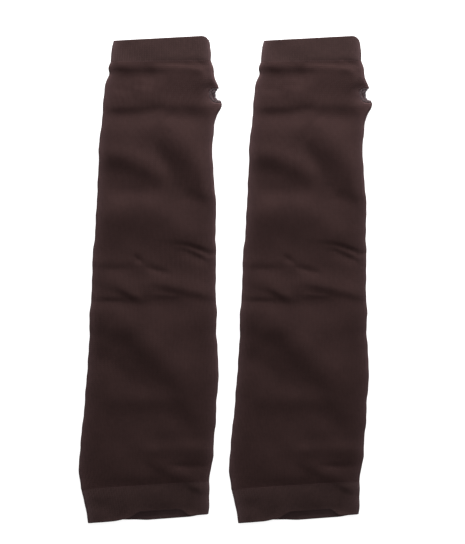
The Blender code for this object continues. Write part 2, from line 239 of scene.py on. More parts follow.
# The yarn's fibre, lint and uneven dye, with their sizes in metres, and the painted light that pales
# it.
# A real fibre is 0.02 mm thick; here tufts of fibre are drawn, because a single one is too fine to
# show.
FIBRE_SIZE = 0.4 * MM
LINT_SIZE = 2.4 * MM
DYE_SIZE = 26 * MM
PAINTED_LIGHT_TONE = (1.2, 1.4, 1.6)  # how much the painted light and painted sheen pale the yarn's red, green and blue
TURN_PAINTED_LIGHT = {"hand_cuff": 0.2, "arm_cuff": 0.8}  # painted light at the turned edge of a welt, most where it faces away from the lamp at the arm end
INSIDE_TONE = 1.35  # the wrong side is a little paler than the right side
FIBRE_RELIEF = 0.25  # the fibres' height, as a share of a stitch's
BASE_TONE = 0.6  # the yarn's darkest tone, to which its dye and its lint add
DYE_TONE = 0.5
LINT_TONE = 0.3

# A stitch of the knit, in wales across and courses along
LEG_PLACE = 0.26  # from the middle of a wale to each leg of its Vs
LEG_HALF = 0.25  # half a leg's width
LEG_SLANT = 1.7  # how steeply it rises towards the middle of its wale
LOOP_TOP = 0.3  # where along a stitch its back levels off, and how softly
LOOP_BLEND = 0.2
LOOP_RISE = 1.6  # how steeply it rises to there, and from what height
LOOP_FOOT = 0.5
BACK_WAVE = 0.2  # how far the loop heads wave on the wrong side
PLIES = 3.0  # of a sewing thread

# How finely the pieces are divided
BODY_ROW = 1.1
END_ROWS = (0.2, 0.5, 0.8)  # extra rows so far from each end
END_GUARD = 0.01  # how far inside a solid's ends its outline is read
TOP_COLUMNS = 84
SIDE_COLUMNS = 7
BOTTOM_COLUMNS = 36
RIB_COLUMNS = 8
WELT_ROW = 1.15
TURN_ROWS = 6
BAND_STEPS = 320
THREAD_SIDES = 8

# The stage, in metres
TABLE_REACH = 30.0
TABLE_DROP = 0.0002  # how far the table's top lies under the warmers
TABLE_GLOW = 0.78
TABLE_ROUGHNESS = 0.8
LAMP_SIZE = (0.8, 0.36)
LAMP_PLACE = (0.1, 0.86, 0.245)  # low beyond the hand ends, so that the creases show
LAMP_TARGET = (0, -0.02, 0)
CAMERA_PLACE = (0.00566, 0.00616)  # the point of the table that it looks straight down on
SENSOR = 36  # millimetres


def linear(hex_colour):
    """An sRGB hex value as Blender's linear colour."""
    parts = [int(hex_colour[index : index + 2], 16) / 255 for index in (1, 3, 5)]
    return tuple(v / 12.92 if v <= 0.04045 else ((v + 0.055) / 1.055) ** 2.4 for v in parts)


def smooth(share):
    """Goes from 0 to 1 with no corner at either end."""
    share = np.clip(share, 0, 1)
    return share * share * (3 - 2 * share)


def ramp(place, step):
    """Goes smoothly from 0 to 1 at a step, which is a start and a length, or back from its end to its
    start where the length is negative."""
    start, length = step
    return smooth((place - start) / length)


class YarnSettings(bpy.types.PropertyGroup):
    """The knit's sizes and colours."""

    body_colour: bpy.props.FloatVectorProperty(
        name="Sleeve yarn",
        description="Colour of the sleeve tubes",
        subtype="COLOR",
        default=linear("#362726"),
        min=0,
        max=1,
    )
    welt_colour: bpy.props.FloatVectorProperty(
        name="Welt yarn",
        description="Colour of the rib welts, which look a little paler where they are doubled",
        subtype="COLOR",
        default=linear("#382A29"),
        min=0,
        max=1,
    )
    edge_colour: bpy.props.FloatVectorProperty(
        name="Overlock thread",
        description="Colour of the thread that binds the thumb opening",
        subtype="COLOR",
        default=linear("#352B2B"),
        min=0,
        max=1,
    )
    cloth: bpy.props.FloatProperty(
        name="Sleeve cloth",
        description="Thickness of the sleeve's single knit",
        unit="LENGTH",
        default=1.2 * MM,
        min=0.5 * MM,
        max=1.4 * MM,
    )
    welt_cloth: bpy.props.FloatProperty(
        name="Welt cloth",
        description="Thickness of a welt, which is the rib folded double",
        unit="LENGTH",
        default=1.5 * MM,
        min=1 * MM,
        max=2 * MM,
    )
    rib_pitch: bpy.props.FloatProperty(
        name="Rib pitch",
        description="From one rib of the welts to the next",
        unit="LENGTH",
        default=2.0 * MM,
        min=1 * MM,
        max=5 * MM,
    )
    rib_depth: bpy.props.FloatProperty(
        name="Rib depth",
        description="Depth of the grooves between the ribs",
        unit="LENGTH",
        default=0.08 * MM,
        min=0,
        max=1 * MM,
    )
    # A real stitch of this cloth is about 1 mm wide and 0.8 mm high, which is too fine to show, so it
    # is drawn twice that size.
    wales: bpy.props.IntProperty(
        name="Wales",
        description="Columns of stitches round a sleeve",
        default=100,
        min=20,
        max=400,
    )
    course: bpy.props.FloatProperty(
        name="Course",
        description="Length of one row of stitches along a sleeve",
        unit="LENGTH",
        default=1.6 * MM,
        min=0.5 * MM,
        max=6 * MM,
    )


class StudioSettings(bpy.types.PropertyGroup):
    """The table, the lamp and the camera."""

    camera_height: bpy.props.FloatProperty(
        name="Camera height",
        description="Height of the camera above the table",
        unit="LENGTH",
        default=1.3,
        min=0.3,
        max=5,
    )
    view_height: bpy.props.FloatProperty(
        name="View length",
        description="Length of table that the picture takes in, from its top to its bottom",
        unit="LENGTH",
        default=0.4468,
        min=0.1,
        max=5,
    )
    lamp_power: bpy.props.FloatProperty(
        name="Lamp power",
        description="Power of the soft lamp beyond the hand ends",
        unit="POWER",
        default=26.5,
        min=0,
        max=1000,
    )
    fill: bpy.props.FloatProperty(
        name="Fill light",
        description="Strength of the light that comes from all round",
        default=0.42,
        min=0,
        max=5,
    )
    table_colour: bpy.props.FloatVectorProperty(
        name="Table",
        description="Colour of the table top",
        subtype="COLOR",
        default=linear("#D0D0D0"),
        min=0,
        max=1,
    )


def cad_edges(node):
    """Both ends of every edge of a CAD solid of the left warmer, in its own millimetres."""
    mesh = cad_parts[node].data
    points = np.empty(len(mesh.vertices) * 3)
    mesh.vertices.foreach_get("co", points)
    points = points.reshape(-1, 3) / MM - (MIDDLE, 0, 0)
    ends = np.empty(len(mesh.edges) * 2, dtype=int)
    mesh.edges.foreach_get("vertices", ends)
    return points[ends.reshape(-1, 2)]


def corner_y(edges, right, up):
    """How far along the warmer a solid's corner lies: right and up are 1 or -1."""
    points = edges.reshape(-1, 3)
    return points[np.argmax(points[:, 0] * right + points[:, 1] * up), 1]


def fold_x(edges, y, right):
    """Where the folded side of a solid lies at y."""
    reach = edges[..., 1]
    y = np.clip(y, reach.min() + END_GUARD, reach.max() - END_GUARD)
    crossing = edges[(reach.min(axis=1) <= y) & (reach.max(axis=1) > y)]
    near, far = crossing[:, 0], crossing[:, 1]
    x = near[:, 0] + (far - near)[:, 0] * (y - near[:, 1]) / (far - near)[:, 1]
    return x.max() if right > 0 else x.min()


def rounded(values, reach):
    """The same line with its corners rounded over so many entries."""
    weight = np.hanning(2 * reach + 3)[1:-1]
    padded = np.pad(values, reach, mode="edge")
    return np.convolve(padded, weight / weight.sum(), mode="valid")


def curved(stations):
    """The stations of a crease with more between them, on one smooth line."""
    given = np.array(stations, dtype=float)
    first, last = 2 * given[:1] - given[1:2], 2 * given[-1:] - given[-2:-1]
    ends = np.concatenate([first, given, last])
    line = []
    for before, near, far, after in zip(ends, ends[1:], ends[2:], ends[3:]):
        for share in np.arange(CURVE_STEPS) / CURVE_STEPS:
            bend = 2 * before - 5 * near + 4 * far - after
            twist = 3 * near - before - 3 * far + after
            line.append(near + ((far - before) + (bend + twist * share) * share) * share / 2)
    return np.array([*line, given[-1]])


def crease_lift(x, y):
    """How far the creases lift or press the cloth at the points (x, y)."""
    x, y = np.broadcast_arrays(x, y)
    lift = np.zeros(x.shape)
    for lean, *stations in CREASES:
        line = curved(stations)
        reach = CREASE_REACH * (1 + abs(lean)) * line[:, 3].max()
        low, high = line[:, :2].min(axis=0) - reach, line[:, :2].max(axis=0) + reach
        here = (x > low[0]) & (x < high[0]) & (y > low[1]) & (y < high[1])
        own_x, own_y = x[here], y[here]
        nearest = np.full(own_x.shape, np.inf)
        own_lift = np.zeros(own_x.shape)
        for near, far in zip(line, line[1:]):
            run = far - near
            length = math.hypot(run[0], run[1])
            share = ((own_x - near[0]) * run[0] + (own_y - near[1]) * run[1]) / length**2
            share = np.clip(share, 0, 1)
            off_x = own_x - near[0] - share * run[0]
            off_y = own_y - near[1] - share * run[1]
            apart = np.hypot(off_x, off_y)
            aside = (off_y * run[0] - off_x * run[1]) / length
            width = near[3] + share * run[3]
            width = width * (1 + lean * np.tanh(aside / width))
            height = (near[2] + share * run[2]) * np.exp(-((apart / width) ** 2))
            own_lift = np.where(apart < nearest, height, own_lift)
            nearest = np.minimum(apart, nearest)
        lift[here] += own_lift
    return lift


def slack(x, y):
    """The small unevenness that limp knit has everywhere."""
    height, across, wander, along, start = SWELL
    swell = height * np.sin(x / across + np.sin(y / wander) * WANDER) * np.sin(y / along + start)
    height, along, across, wander = RIPPLE
    return swell + height * np.sin(y / along + x / across + WANDER * np.sin(x / wander))


# A knitted tube that lies flat: for each of its rows how thick a layer is, where the two folds lie
# across and along the warmer, and half their heights.
Tube = namedtuple("Tube", "wall left right y_left y_right half_left half_right")


def rows_of(tube, rows):
    """Some rows of a tube."""
    return Tube(*(values[rows] for values in tube))


def read_tube(part, spacing, wall):
    """Reads from a CAD solid how a knitted tube lies."""
    edges = cad_edges(f"left_{part}")
    ends = {(right, up): corner_y(edges, right, up) for right in (-1, 1) for up in (-1, 1)}
    length = ends[-1, 1] - ends[-1, -1]
    even = np.linspace(0, 1, round(length / spacing) + 1)
    extra = np.array(END_ROWS) / length
    rows = np.sort(np.concatenate([even, extra, 1 - extra]))
    wall = wall * (1 - THINNING.get(part, 0) * (1 - rows) ** MOUTH_POWER)
    waver, short, long = WAVER
    folds = []
    for right in (-1, 1):
        along = ends[right, -1] + (ends[right, 1] - ends[right, -1]) * even
        out = np.array([fold_x(edges, y, right) for y in along])
        if part == "body" and right > 0:
            clear = np.abs(along - THUMB_Y) > THUMB_HALF + THUMB_ROOM
            out = np.interp(along, along[clear], out[clear])
        out = np.interp(rows, even, rounded(out, OUTLINE_REACH))
        along = np.interp(rows, even, along)
        out += right * waver * np.sin(along / short + right) * np.sin(along / long + 2 * right)
        half = (EDGE + FOLD_SHARE * crease_lift(out - right * FOLD_INSET, along)) / 2
        folds.append((out, along, np.maximum(half, wall + WALL_ROOM / 2)))
    (left, y_left, half_left), (right, y_right, half_right) = folds
    return Tube(wall, left, right, y_left, y_right, half_left, half_right)


def layer_heights(tube, x, y):
    """Heights of the outsides of the upper and the lower layer, by row, at the points (x, y)."""
    left, right, half_left, half_right = (
        values[:, None] for values in (tube.left, tube.right, tube.half_left, tube.half_right)
    )
    lift = crease_lift(x, y)
    by_left = 1 - smooth((x - left - FOLD_RADIUS) / FOLD_BLEND)
    by_right = 1 - smooth((right - x - FOLD_RADIUS) / FOLD_BLEND)
    least = 2 * tube.wall[:, None] + WALL_ROOM
    spare = RISE + lift + slack(x, y) - least
    own = least + SOFTNESS * np.logaddexp(0, spare / SOFTNESS)
    upper = own + (2 * half_left - own) * by_left + (2 * half_right - own) * by_right
    lower = np.maximum(lift * UNDER_SHARE - UNDER_SLACK, 0) * (1 - by_left) * (1 - by_right)
    return upper, lower


def seam_drop(tube, joined):
    """How far the cloth rounds off in each row. joined holds 1 for a seam at the tube's hand end and
    -1 for one at its arm end."""
    drop = np.zeros(len(tube.left))
    for end in joined:
        away = np.abs(tube.y_left - (tube.y_left[-1] if end > 0 else tube.y_left[0]))
        drop += SEAM_DROP * np.clip(1 - away / SEAM_REACH, 0, 1) ** SEAM_POWER
    return drop[:, None]


def column_plan(top, side, bottom):
    """For each column round a tube, the zone that it is in (the top, the right side, the bottom or
    the left side) and its share of the way through that zone."""
    counts = (top, side, bottom, side)
    zone = np.repeat(np.arange(4), counts)
    share = np.concatenate([np.arange(count) / count for count in counts])
    return zone, share


def mouth_shift(across, zone):
    """How far a mouth's upper layer stands back, and its lower layer hangs out, across the welt."""
    slow, quick = ramp(across, ARCH_SLOW), ramp(across, ARCH_QUICK)
    arch = (slow + ARCH_QUICK_SHARE * (quick - slow)) * ramp(across, ARCH_FALL)
    sag = ramp(across, SAG_RISE) * ramp(across, SAG_FALL)
    sag -= TUCK_SHARE * ramp(across, TUCK_RISE) * ramp(across, TUCK_FALL)
    return np.where(zone == 0, arch, 0) - np.where(zone == 2, LIP_SAG * sag, 0)


def tube_points(tube, plan, inset, mouth=0, corner=0, radius=0):
    """The tube's points, by row and column. inset is how far under its outside they lie, mouth how
    far each row opens at the arm end, and corner how much of its right corner's radius it takes."""
    zone, share = plan
    left, right = tube.left[:, None], tube.right[:, None]
    half_left, half_right = tube.half_left[:, None], tube.half_right[:, None]
    first, last = left + FOLD_RADIUS, right - FOLD_RADIUS
    turn = math.pi * share
    x = np.choose(
        zone,
        [
            first + (last - first) * share,
            last + (FOLD_RADIUS - inset) * np.sin(turn),
            last + (first - last) * share,
            first - (FOLD_RADIUS - inset) * np.sin(turn),
        ],
    )
    across = (x - left) / (right - left)
    y = tube.y_left[:, None] + (tube.y_right - tube.y_left)[:, None] * across
    y = y + mouth * mouth_shift(across, zone)
    beyond = np.clip(x - right + radius, 0, CORNER_SHARE * radius)
    y = y - corner * (radius - np.sqrt(radius**2 - beyond**2))
    upper, lower = layer_heights(tube, x, y)
    z = np.choose(
        zone,
        [
            upper - inset,
            half_right + (half_right - inset) * np.cos(turn),
            lower + inset,
            half_left - (half_left - inset) * np.cos(turn),
        ],
    )
    return np.stack([x, y, z], axis=-1)


def side_painted_sheen(tube, points):
    """How much painted sheen pales the cloth at the points, which is most in the folded sides."""
    inward = np.minimum(points[..., 0] - tube.left[:, None], tube.right[:, None] - points[..., 0])
    return np.exp(-np.maximum(inward, 0) / PAINTED_LIGHT_REACH)


def grid_mesh(name, points, across, along, painted_light, looped=False, kept=None):
    """A mesh of a grid of points whose columns go round and close. across and along count the
    stitches at each column and row; looped closes the rows too; kept says which faces stay."""
    rows, columns = points.shape[:2]
    index = np.arange(rows * columns).reshape(rows, columns)
    lower, upper = index, np.roll(index, -1, axis=0)
    if not looped:
        lower, upper = lower[:-1], upper[:-1]
    faces = np.stack([lower, np.roll(lower, -1, 1), np.roll(upper, -1, 1), upper], axis=-1)
    next_along = np.append(along[1:], along[-1] + (along[-1] - along[-2]))[: len(faces)]
    u_near, u_far = across[:-1], across[1:]
    u = np.broadcast_to(np.stack([u_near, u_far, u_far, u_near], -1), faces.shape)
    v_near, v_far = along[: len(faces), None], next_along[:, None]
    v = np.broadcast_to(np.stack([v_near, v_near, v_far, v_far], -1), faces.shape)
    if kept is None:
        kept = np.ones(faces.shape[:2], dtype=bool)
    faces, u, v = faces[kept], u[kept], v[kept]
    used, faces = np.unique(faces, return_inverse=True)
    faces = faces.reshape(-1, 4)
    mesh = bpy.data.meshes.new(name)
    mesh.from_pydata((points.reshape(-1, 3)[used] * MM).tolist(), [], faces.tolist())
    layer = mesh.uv_layers.new(name=STITCH_MAP)
    layer.data.foreach_set("uv", np.stack([u.ravel(), v.ravel()], -1).ravel().astype("f"))
    # the painted light for each point, kept as an attribute
    painted_light_values = np.broadcast_to(painted_light, (rows, columns)).ravel()[used].astype("f")
    mesh.attributes.new(PAINTED_LIGHT, "FLOAT", "POINT").data.foreach_set("value", painted_light_values)
    mesh.shade_smooth()
    return mesh


def stitch_count(points, total):
    """The count of stitches at each column of a ring, and at its end, by its length."""
    steps = np.linalg.norm(np.roll(points, -1, 0) - points, axis=1)
    return np.append(0, np.cumsum(steps)) / steps.sum() * total


def upper_share(z):
    """Goes from 0 in the lower layer to 1 in the upper one."""
    low, high = THUMB_TURN
    return smooth((z - low) / (high - low))


def thumb_depth(z):
    """How far the thumb opening reaches in at a height: more in the upper layer."""
    return THUMB_LOWER_DEPTH + (THUMB_UPPER_DEPTH - THUMB_LOWER_DEPTH) * upper_share(z)


def thumb_place(points):
    """Each point's place in the thumb opening, across and along, and how far out from its middle
    that is, with 1 on its edge."""
    x, y, z = points[..., 0], points[..., 1], points[..., 2]
    along = (y - THUMB_Y) / THUMB_HALF
    across = np.minimum((x - THUMB_LIP_X + THUMB_LIP_LEAN * along) / thumb_depth(z), 0)
    out = (np.abs(across) ** THUMB_SQUARE + np.abs(along) ** THUMB_SQUARE) ** (1 / THUMB_SQUARE)
    beyond = x < THUMB_LIP_X - 2 * THUMB_UPPER_DEPTH
    return across, along, np.where(beyond, FAR, out)


def thumb_curl(along):
    """How far the lower layer's cut edge curls up, from the lower lip to the upper."""
    return THUMB_CURL * (1 + UPPER_CURL * ramp(along, CURL_RISE))


def cut_thumb_opening(points):
    """Draws the cloth round the thumb opening to its edge. Gives the points, which faces stay and
    how near the edge each point is."""
    across, along, out = thumb_place(points)
    pairs = points + np.roll(points, -1, 1)
    cut = thumb_place((pairs[:-1] + pairs[1:]) / 4)[2] < 1
    by_cut = np.zeros(points.shape[:2], dtype=bool)
    by_kept = np.zeros(points.shape[:2], dtype=bool)
    for row in (slice(None, -1), slice(1, None)):
        for shift in (0, 1):
            by_cut[row] |= np.roll(cut, shift, 1)
            by_kept[row] |= np.roll(~cut, shift, 1)
    rim = by_cut & by_kept
    scale = np.where(rim & (out > THUMB_CORE), 1 / np.maximum(out, THUMB_CORE), 1)
    along = along * scale
    lip = THUMB_LIP_X - THUMB_LIP_LEAN * along
    x = np.where(
        rim & (across < 0), lip + across * scale * thumb_depth(points[..., 2]), points[..., 0]
    )
    y = np.where(rim, THUMB_Y + along * THUMB_HALF, points[..., 1])
    away = np.maximum(out - 1, 0) * THUMB_HALF
    curl = thumb_curl(along) * np.exp(-away / CURL_REACH) * (1 - upper_share(points[..., 2]))
    # painted light round the opening, fading outwards
    near = np.exp(-away / PAINTED_LIGHT_REACH)
    return np.stack([x, y, points[..., 2] + curl], -1), ~cut, near


def sweep(path, wide, thick, aside):
    """Points of a thread or band along a closed path, ring by ring. wide and thick are half its
    size across aside and along it, and the path never runs along aside."""
    ahead = np.roll(path, -1, 0) - np.roll(path, 1, 0)
    ahead /= np.linalg.norm(ahead, axis=1)[:, None]
    side = np.cross(ahead, aside)
    side /= np.linalg.norm(side, axis=1)[:, None]
    over = np.cross(side, ahead)
    turn = 2 * math.pi * np.arange(THREAD_SIDES) / THREAD_SIDES
    shape = (len(path), THREAD_SIDES)
    wide, thick = np.broadcast_to(wide, shape), np.broadcast_to(thick, shape)
    out = side[:, None] * (wide * np.cos(turn))[..., None]
    return path[:, None] + out + over[:, None] * (thick * np.sin(turn))[..., None]


def add_node(tree, kind, inputs=None, **settings):
    """Adds a node with its settings, sets or links its inputs, and gives its outputs."""
    node = tree.nodes.new(kind)
    for name, value in settings.items():
        setattr(node, name, value)
    for socket, value in (inputs or {}).items():
        if isinstance(value, bpy.types.NodeSocket):
            tree.links.new(value, node.inputs[socket])
        else:
            node.inputs[socket].default_value = value
    return node.outputs


def knit_face(tree, wale, course):
    """Stockinette's right side: columns of V-shaped stitches, two slanting legs to a wale."""
    across = add_node(tree, MATH, {0: wale, 1: 0.5}, operation="PINGPONG")[0]
    off = add_node(tree, MATH, {0: across, 1: LEG_PLACE}, operation="SUBTRACT")[0]
    leg = add_node(tree, MATH, {0: off, 1: off}, operation="MULTIPLY")[0]
    leg = {0: leg, 1: -1 / LEG_HALF**2, 2: 1.0}
    leg = add_node(tree, MATH, leg, operation="MULTIPLY_ADD")[0]
    slant = {0: across, 1: -LEG_SLANT, 2: course}
    slant = add_node(tree, MATH, slant, operation="MULTIPLY_ADD")[0]
    loop = add_node(tree, MATH, {0: slant, 1: 0.5}, operation="PINGPONG")[0]
    loop = add_node(tree, MATH, {0: loop, 1: LOOP_TOP, 2: LOOP_BLEND}, operation="SMOOTH_MIN")[0]
    loop = {0: loop, 1: LOOP_RISE, 2: LOOP_FOOT}
    loop = add_node(tree, MATH, loop, operation="MULTIPLY_ADD")[0]
    return add_node(tree, MATH, {0: leg, 1: loop}, operation="MULTIPLY")[0]


def knit_back(tree, wale, course):
    """Stockinette's wrong side: rows of loop heads that wave from one wale to the next."""
    angle = add_node(tree, MATH, {0: wale, 1: 2 * math.pi}, operation="MULTIPLY")[0]
    wave = add_node(tree, MATH, {0: angle}, operation="COSINE")[0]
    phase = {0: wave, 1: BACK_WAVE, 2: course}
    phase = add_node(tree, MATH, phase, operation="MULTIPLY_ADD")[0]
    return add_node(tree, MATH, {0: phase, 1: 1.0}, operation="PINGPONG")[0]


def thread_twist(tree, turn, length):
    """A sewing thread's plies, which wind round it."""
    phase = add_node(tree, MATH, {0: turn, 1: PLIES, 2: length}, operation="MULTIPLY_ADD")[0]
    return add_node(tree, MATH, {0: phase, 1: 1.0}, operation="PINGPONG")[0]


def yarn_material(name, colour, relief, depth, shade):
    """Spun yarn, dyed and not brushed, whose loose fibre ends scatter the light so that it has no
    gloss.
    Painted shade darkens it in the grooves between the stitches, and painted light from the attribute
    pales it: a painted sheen where the cloth turns away, and light laid on where shade falls. relief
    draws the stitches from their counts, depth is their height in millimetres, and shade is how much of
    the colour the painted shade takes in the grooves."""
    material = bpy.data.materials.new(name)
    material.use_nodes = True
    tree = material.node_tree
    shader = tree.nodes["Principled BSDF"]
    counts = add_node(tree, "ShaderNodeUVMap", uv_map=STITCH_MAP)[0]
    counts = add_node(tree, "ShaderNodeSeparateXYZ", {0: counts})
    stitches = relief(tree, counts[0], counts[1])
    place = add_node(tree, "ShaderNodeTexCoord")["Object"]
    noise = "ShaderNodeTexNoise"
    fibre = add_node(tree, noise, {"Vector": place, "Scale": 1 / FIBRE_SIZE, "Detail": 2.0})[0]
    lint = add_node(tree, noise, {"Vector": place, "Scale": 1 / LINT_SIZE, "Detail": 1.0})[0]
    dye = add_node(tree, noise, {"Vector": place, "Scale": 1 / DYE_SIZE, "Detail": 3.0})[0]
    painted_light = add_node(tree, "ShaderNodeAttribute", attribute_name=PAINTED_LIGHT)["Fac"]
    height = {0: fibre, 1: FIBRE_RELIEF, 2: stitches}
    height = add_node(tree, MATH, height, operation="MULTIPLY_ADD")[0]
    bump = {"Strength": 1.0, "Distance": depth * MM, "Height": height}
    bump = add_node(tree, "ShaderNodeBump", bump)[0]
    tone = {0: dye, 1: DYE_TONE, 2: BASE_TONE}
    tone = add_node(tree, MATH, tone, operation="MULTIPLY_ADD")[0]
    tone = add_node(tree, MATH, {0: lint, 1: LINT_TONE, 2: tone}, operation="MULTIPLY_ADD")[0]
    # Painted shade: the colour darkens in the grooves between the stitches, by shade
    painted_groove_shade = add_node(tree, MATH, {0: stitches, 1: 0.0}, operation="MAXIMUM")[0]
    painted_groove_shade = {0: painted_groove_shade, 1: shade, 2: 1 - shade}
    painted_groove_shade = add_node(tree, MATH, painted_groove_shade, operation="MULTIPLY_ADD")[0]
    tone = add_node(tree, MATH, {0: tone, 1: painted_groove_shade}, operation="MULTIPLY")[0]
    vector = "ShaderNodeVectorMath"
    dyed = add_node(tree, vector, {0: tuple(colour), "Scale": tone}, operation="SCALE")[0]
    # Painted light: the attribute pales the colour, as painted sheen and as light laid on where shade
    # falls
    painted_lift = {0: painted_light, 1: PAINTED_LIGHT_TONE, 2: (1.0, 1.0, 1.0)}
    painted_lift = add_node(tree, vector, painted_lift, operation="MULTIPLY_ADD")[0]
    yarn = add_node(tree, vector, {0: dyed, 1: painted_lift}, operation="MULTIPLY")[0]
    tree.links.new(yarn, shader.inputs["Base Color"])
    tree.links.new(bump, shader.inputs["Normal"])
    shader.inputs["Roughness"].default_value = 1.0
    shader.inputs["Specular IOR Level"].default_value = 0.02
    shader.inputs["Sheen Weight"].default_value = 0.02
    shader.inputs["Sheen Roughness"].default_value = 0.5
    shader.inputs["Sheen Tint"].default_value = (*linear("#B8958C"), 1)
    return material


def show_pair(part, mesh, materials, replaced=None):
    """Shows a piece of each warmer from one mesh, in place of a CAD solid where it replaces one."""
    pair = []
    for material in materials:
        mesh.materials.append(material)
    for side, shift in (("left", 0), ("right", PITCH)):
        piece = bpy.data.objects.new(f"{side}_{part}", mesh)
        piece.location.x = (MIDDLE + shift) * MM
        bpy.context.scene.collection.objects.link(piece)
        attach(piece, BODY)
        if replaced:
            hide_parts(f"{side}_{replaced}")
        pair.append(piece)
    return pair


class ARMWARMERS_OT_thumb_edges(bpy.types.Operator):
    """Binds the thumb openings with an overlocked edge"""

    bl_idname = "armwarmers.thumb_edges"
    bl_label = "Bind Thumb Openings"

    def execute(self, context):
        yarn = context.scene.arm_warmer_yarn
        wall = yarn.cloth / MM
        tube = read_tube("body", BODY_ROW, wall)
        turn = 2 * math.pi * np.arange(BAND_STEPS) / BAND_STEPS
        squared = 2 / THUMB_SQUARE
        along = np.sign(np.sin(turn)) * np.abs(np.sin(turn)) ** squared
        across = np.sign(np.cos(turn)) * np.abs(np.cos(turn)) ** squared
        share = 0.5 + 0.5 * np.sin(np.clip(across / BAND_CROSSING, -1, 1) * math.pi / 2)
        wide = BAND_LOWER + (BAND_UPPER - BAND_LOWER) * share
        few, many = BAND_WAVES
        wide = wide * (1 + BAND_UNEVEN * np.sin(few * turn + 1) * np.sin(many * turn))
        depth = np.where(across > 0, THUMB_UPPER_DEPTH, THUMB_LOWER_DEPTH) - wide + BAND_OVER
        x = THUMB_LIP_X - THUMB_LIP_LEAN * along - depth * np.abs(across)
        y = THUMB_Y + (THUMB_HALF - wide + BAND_OVER) * along
        row = np.argmin(np.abs(tube.y_right[:, None] - y), axis=0)
        upper = layer_heights(rows_of(tube, row), x[:, None], y[:, None])[0][:, 0]
        upper += BAND_RISE - wall / 2
        lower = BAND_THICK + BAND_WRAP + thumb_curl(along)
        path = np.stack([x, y, lower + (upper - lower) * share], -1)
        lengths = np.linalg.norm(np.roll(path, -1, 0) - path, axis=1)
        stitches = (np.cumsum(lengths) - lengths) / lengths.sum()
        stitches *= round(lengths.sum() / BAND_PITCH)
        around = np.arange(THREAD_SIDES + 1) / THREAD_SIDES
        wrap = np.abs(np.sin(math.pi * (stitches[:, None] + around[:-1])))
        wrap = BAND_WRAP * wrap**BAND_WRAP_POWER
        rings = sweep(path, wide[:, None] - BAND_WRAP + wrap, BAND_THICK + wrap, (0, 0, 1))
        # painted light on the band: less at the lower lip, more on the lower layer in the upper layer's
        # shade
        painted_light = BAND_PAINTED_LIGHT * (1 - LIP_PAINTED_LIGHT_LOSS * smooth(-along)) + LOWER_BAND_PAINTED_LIGHT * (1 - share)
        mesh = grid_mesh("thumb_overlock", rings, around, stitches, painted_light[:, None], looped=True)
        # Textured polyester thread, overlocked close together: a soft cord of loops side by side.
        thread = yarn_material(
            "polyester_overlock", yarn.edge_colour, thread_twist, depth=0.1, shade=0.3
        )
        show_pair("thumb_overlock", mesh, [thread], "thumb_edge")
        return {"FINISHED"}


class ARMWARMERS_OT_sleeves(bpy.types.Operator):
    """Knits the two sleeve tubes, with their creases and the thumb openings"""

    bl_idname = "armwarmers.sleeves"
    bl_label = "Knit Sleeves"

    def execute(self, context):
        yarn = context.scene.arm_warmer_yarn
        tube = read_tube("body", BODY_ROW, yarn.cloth / MM)
        plan = column_plan(TOP_COLUMNS, SIDE_COLUMNS, BOTTOM_COLUMNS)
        points = tube_points(tube, plan, seam_drop(tube, (-1, 1)))
        across = stitch_count(points[len(points) // 2], yarn.wales)
        along = tube.y_left * MM / yarn.course
        points, kept, by_thumb = cut_thumb_opening(points)
        # painted sheen by the folded sides, and painted light round the thumb opening
        painted_light = np.maximum(side_painted_sheen(tube, points), THUMB_PAINTED_LIGHT * by_thumb)
        mesh = grid_mesh("sleeve_knit", points, across, along, painted_light, kept=kept)
        # Spun acrylic in plain circular knit: on its right side fine upright columns of Vs.
        face = yarn_material(
            "acrylic_plain_knit", yarn.body_colour, knit_face, depth=0.25, shade=0.3
        )
        # Its wrong side, which shows inside the thumb opening: fine rows of loop heads.
        inside = [part * INSIDE_TONE for part in yarn.body_colour]
        back = yarn_material(
            "acrylic_plain_knit_back", inside, knit_back, depth=0.3, shade=0.4
        )
        for piece in show_pair("sleeve_knit", mesh, [face, back], "body"):
            solid = piece.modifiers.new("cloth", "SOLIDIFY")
            solid.thickness = yarn.cloth
            solid.offset = -1
            solid.material_offset = 1
        return {"FINISHED"}


